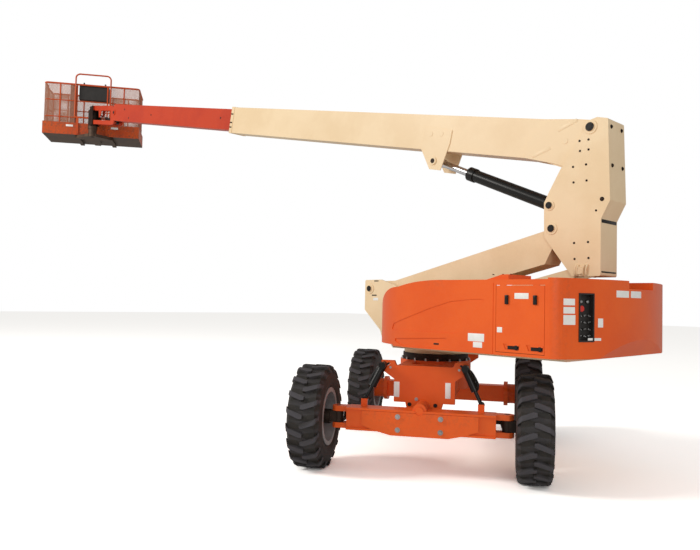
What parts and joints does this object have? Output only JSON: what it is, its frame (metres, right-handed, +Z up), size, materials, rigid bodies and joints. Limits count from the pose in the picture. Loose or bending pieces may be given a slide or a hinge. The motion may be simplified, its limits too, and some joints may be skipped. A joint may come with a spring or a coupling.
{
  "type": "articulating aerial work platform",
  "caption": "Self-propelled articulating aerial work platform: wheeled chassis, slewing turntable, risers, telescoping boom, jib and a railed platform",
  "frame": {"origin": "on the ground under the middle of the machine's bounding box", "axes": "+X toward the tail, so the boom points along -X; +Y across the turntable to its far side; +Z up"},
  "size_m": [13.1464, 4.1534, 6.3905],
  "materials": {
    "black_paint": "semi-gloss",
    "black_plastic": "matte",
    "black_rubber": "matte",
    "cast_ballast": "painted",
    "chrome_rod": "polished",
    "cream_paint": "satin",
    "dark_steel": "worn",
    "orange_paint": "satin",
    "red_paint": "satin",
    "rim_paint": "satin"
  },
  "bodies": {
    "chassis": {"chassis_frame": "orange_paint", "front_axle": "orange_paint", "rear_axle": "orange_paint", "lockout_cylinders": "black_paint", "steer_cylinder": "black_paint", "swing_bearing": "dark_steel"},
    "tie_rod": {"tie_rod": "dark_steel"},
    "knuckle_left": {"steering_knuckle_left": "dark_steel"},
    "knuckle_right": {"steering_knuckle_right": "dark_steel"},
    "wheel_front_left": {"tyre_front_left": "black_rubber", "rim_front_left": "rim_paint"},
    "wheel_front_right": {"tyre_front_right": "black_rubber", "rim_front_right": "rim_paint"},
    "wheel_rear_left": {"tyre_rear_left": "black_rubber", "rim_rear_left": "rim_paint"},
    "wheel_rear_right": {"tyre_rear_right": "black_rubber", "rim_rear_right": "rim_paint"},
    "turntable": {"turntable_frame": "orange_paint", "counterweight": "cast_ballast", "hood_far": "orange_paint", "hood_near": "orange_paint", "battery_pack_far": "black_plastic", "battery_pack_near": "black_plastic", "ground_controls": "black_plastic"},
    "door_far": {"hood_door_far": "orange_paint"},
    "door_near": {"hood_door_near": "orange_paint"},
    "lower_riser": {"lower_riser": "cream_paint"},
    "riser_knuckle": {"riser_knuckle": "cream_paint"},
    "upper_riser": {"upper_riser": "cream_paint"},
    "tower_link": {"tower_link": "cream_paint"},
    "upright": {"upright": "cream_paint"},
    "base_boom": {"base_boom": "cream_paint"},
    "fly_boom": {"fly_boom": "red_paint"},
    "lift_barrel": {"lift_cylinder_barrel": "black_paint"},
    "lift_rod": {"lift_cylinder_rod": "chrome_rod"},
    "level_head": {"level_head": "orange_paint"},
    "jib_arm": {"jib_arm": "orange_paint"},
    "jib_link": {"jib_link": "orange_paint"},
    "jib_barrel": {"jib_cylinder_barrel": "black_paint"},
    "jib_rod": {"jib_cylinder_rod": "chrome_rod"},
    "platform_carrier": {"platform_carrier": "orange_paint"},
    "platform": {"platform_support": "dark_steel", "platform_floor": "orange_paint", "platform_rails": "orange_paint", "control_console": "black_plastic", "platform_hoop": "orange_paint", "control_cabinet": "black_plastic"},
    "platform_gate": {"platform_gate": "orange_paint"}
  },
  "joints": [
    {"name": "swing", "type": "hinge", "parent": "chassis", "child": "turntable", "pos_m": [4.25316, 0, 1.075], "axis": [0, 0, 1], "range_deg": [-180, 180]},
    {"name": "wheel_spin_front_left", "type": "hinge", "parent": "knuckle_left", "child": "wheel_front_left", "pos_m": [5.7889, -0.47409, 0.498], "axis": [0.8434, 0.5373, 0], "continuous": true},
    {"name": "wheel_spin_front_right", "type": "hinge", "parent": "knuckle_right", "child": "wheel_front_right", "pos_m": [4.0338, -1.59221, 0.498], "axis": [0.8434, 0.5373, 0], "continuous": true},
    {"name": "wheel_spin_rear_left", "type": "hinge", "parent": "chassis", "child": "wheel_rear_left", "pos_m": [4.47252, 1.59221, 0.498], "axis": [0.8434, 0.5373, 0], "continuous": true},
    {"name": "wheel_spin_rear_right", "type": "hinge", "parent": "chassis", "child": "wheel_rear_right", "pos_m": [2.71742, 0.47409, 0.498], "axis": [0.8434, 0.5373, 0], "continuous": true},
    {"name": "steer_left", "type": "hinge", "parent": "chassis", "child": "knuckle_left", "pos_m": [5.58606, -0.60332, 0.498], "axis": [0, 0, 1], "range_deg": [-35, 35]},
    {"name": "steer_right", "type": "hinge", "parent": "chassis", "child": "knuckle_right", "pos_m": [4.23664, -1.46299, 0.498], "axis": [0, 0, 1], "range_deg": [-35, 35]},
    {"name": "tie_rod_slide", "type": "slide", "parent": "chassis", "child": "tie_rod", "axis": [0.8434, 0.5373, 0], "range_m": [-0.13, 0.13]},
    {"name": "hood_door_far_hinge", "type": "hinge", "parent": "turntable", "child": "door_far", "pos_m": [5.75316, 1.066, 1.786], "axis": [1, 0, 0], "range_deg": [0, 80]},
    {"name": "hood_door_near_hinge", "type": "hinge", "parent": "turntable", "child": "door_near", "pos_m": [5.75316, -1.066, 1.786], "axis": [-1, 0, 0], "range_deg": [0, 80]},
    {"name": "tower_lift", "type": "hinge", "parent": "turntable", "child": "lower_riser", "pos_m": [6.01316, 0, 1.3], "axis": [0, 1, 0], "range_deg": [-2, 62]},
    {"name": "knuckle_level", "type": "hinge", "parent": "lower_riser", "child": "riser_knuckle", "pos_m": [3.67216, 0, 1.374], "axis": [0, -1, 0], "range_deg": [-2, 62]},
    {"name": "upper_riser_lift", "type": "hinge", "parent": "riser_knuckle", "child": "upper_riser", "pos_m": [3.38016, 0, 1.782], "axis": [0, -1, 0], "range_deg": [-2, 62]},
    {"name": "tower_link_swing", "type": "hinge", "parent": "riser_knuckle", "child": "tower_link", "pos_m": [3.67216, 0, 1.374], "axis": [0, -1, 0], "range_deg": [-2, 62]},
    {"name": "upright_level", "type": "hinge", "parent": "upper_riser", "child": "upright", "pos_m": [5.76716, 0, 2.36], "axis": [0, 1, 0], "range_deg": [-2, 62]},
    {"name": "boom_lift", "type": "hinge", "parent": "upright", "child": "base_boom", "pos_m": [6.15216, 0, 3.276], "axis": [0, 1, 0], "range_deg": [-12, 58]},
    {"name": "telescope", "type": "slide", "parent": "base_boom", "child": "fly_boom", "axis": [-0.9781, 0, 0.2079], "range_m": [-3.9, 0.6]},
    {"name": "lift_barrel_swing", "type": "hinge", "parent": "upright", "child": "lift_barrel", "pos_m": [5.74316, 0, 2.584], "axis": [0, 1, 0], "range_deg": [-12, 58]},
    {"name": "lift_rod_slide", "type": "slide", "parent": "lift_barrel", "child": "lift_rod", "axis": [-0.9182, 0, 0.3961], "range_m": [-0.18, 0.79]},
    {"name": "level_head_level", "type": "hinge", "parent": "fly_boom", "child": "level_head", "pos_m": [-3.87154, 0, 5.2737], "axis": [0, -1, 0], "range_deg": [-12, 58]},
    {"name": "jib_lift", "type": "hinge", "parent": "level_head", "child": "jib_arm", "pos_m": [-4.03154, 0, 5.4037], "axis": [0, 1, 0], "range_deg": [-50, 50]},
    {"name": "jib_link_swing", "type": "hinge", "parent": "level_head", "child": "jib_link", "pos_m": [-4.03154, 0, 5.1037], "axis": [0, 1, 0], "range_deg": [-50, 50]},
    {"name": "carrier_level", "type": "hinge", "parent": "jib_arm", "child": "platform_carrier", "pos_m": [-4.96408, 0, 5.58497], "axis": [0, -1, 0], "range_deg": [-50, 50]},
    {"name": "jib_barrel_swing", "type": "hinge", "parent": "level_head", "child": "jib_barrel", "pos_m": [-3.95654, 0, 5.1037], "axis": [0, 1, 0], "range_deg": [-50, 50]},
    {"name": "jib_rod_slide", "type": "slide", "parent": "jib_barrel", "child": "jib_rod", "axis": [-0.9427, 0, 0.3338], "range_m": [-0.25, 0.25]},
    {"name": "platform_rotate", "type": "hinge", "parent": "platform_carrier", "child": "platform", "pos_m": [-5.11408, 0, 5.28497], "axis": [0, 0, 1], "range_deg": [-58, 122]},
    {"name": "gate_swing", "type": "hinge", "parent": "platform", "child": "platform_gate", "pos_m": [-6.06389, -0.60201, 5.661], "axis": [0, 0, -1], "range_deg": [0, 85]}
  ],
  "couplings": [
    {"joint": "steer_right", "follows": "steer_left", "ratio": 1},
    {"joint": "tie_rod_slide", "follows": "steer_left", "m_per_rad": -0.19},
    {"joint": "knuckle_level", "follows": "tower_lift", "ratio": 1},
    {"joint": "upper_riser_lift", "follows": "tower_lift", "ratio": 1},
    {"joint": "tower_link_swing", "follows": "tower_lift", "ratio": 1},
    {"joint": "upright_level", "follows": "tower_lift", "ratio": 1},
    {"joint": "lift_barrel_swing", "follows": "boom_lift", "ratio": 0.9},
    {"joint": "lift_rod_slide", "follows": "boom_lift", "m_per_rad": 0.77},
    {"joint": "level_head_level", "follows": "boom_lift", "ratio": 1},
    {"joint": "jib_link_swing", "follows": "jib_lift", "ratio": 1},
    {"joint": "carrier_level", "follows": "jib_lift", "ratio": 1},
    {"joint": "jib_barrel_swing", "follows": "jib_lift", "ratio": 0.78},
    {"joint": "jib_rod_slide", "follows": "jib_lift", "m_per_rad": 0.24}
  ]
}
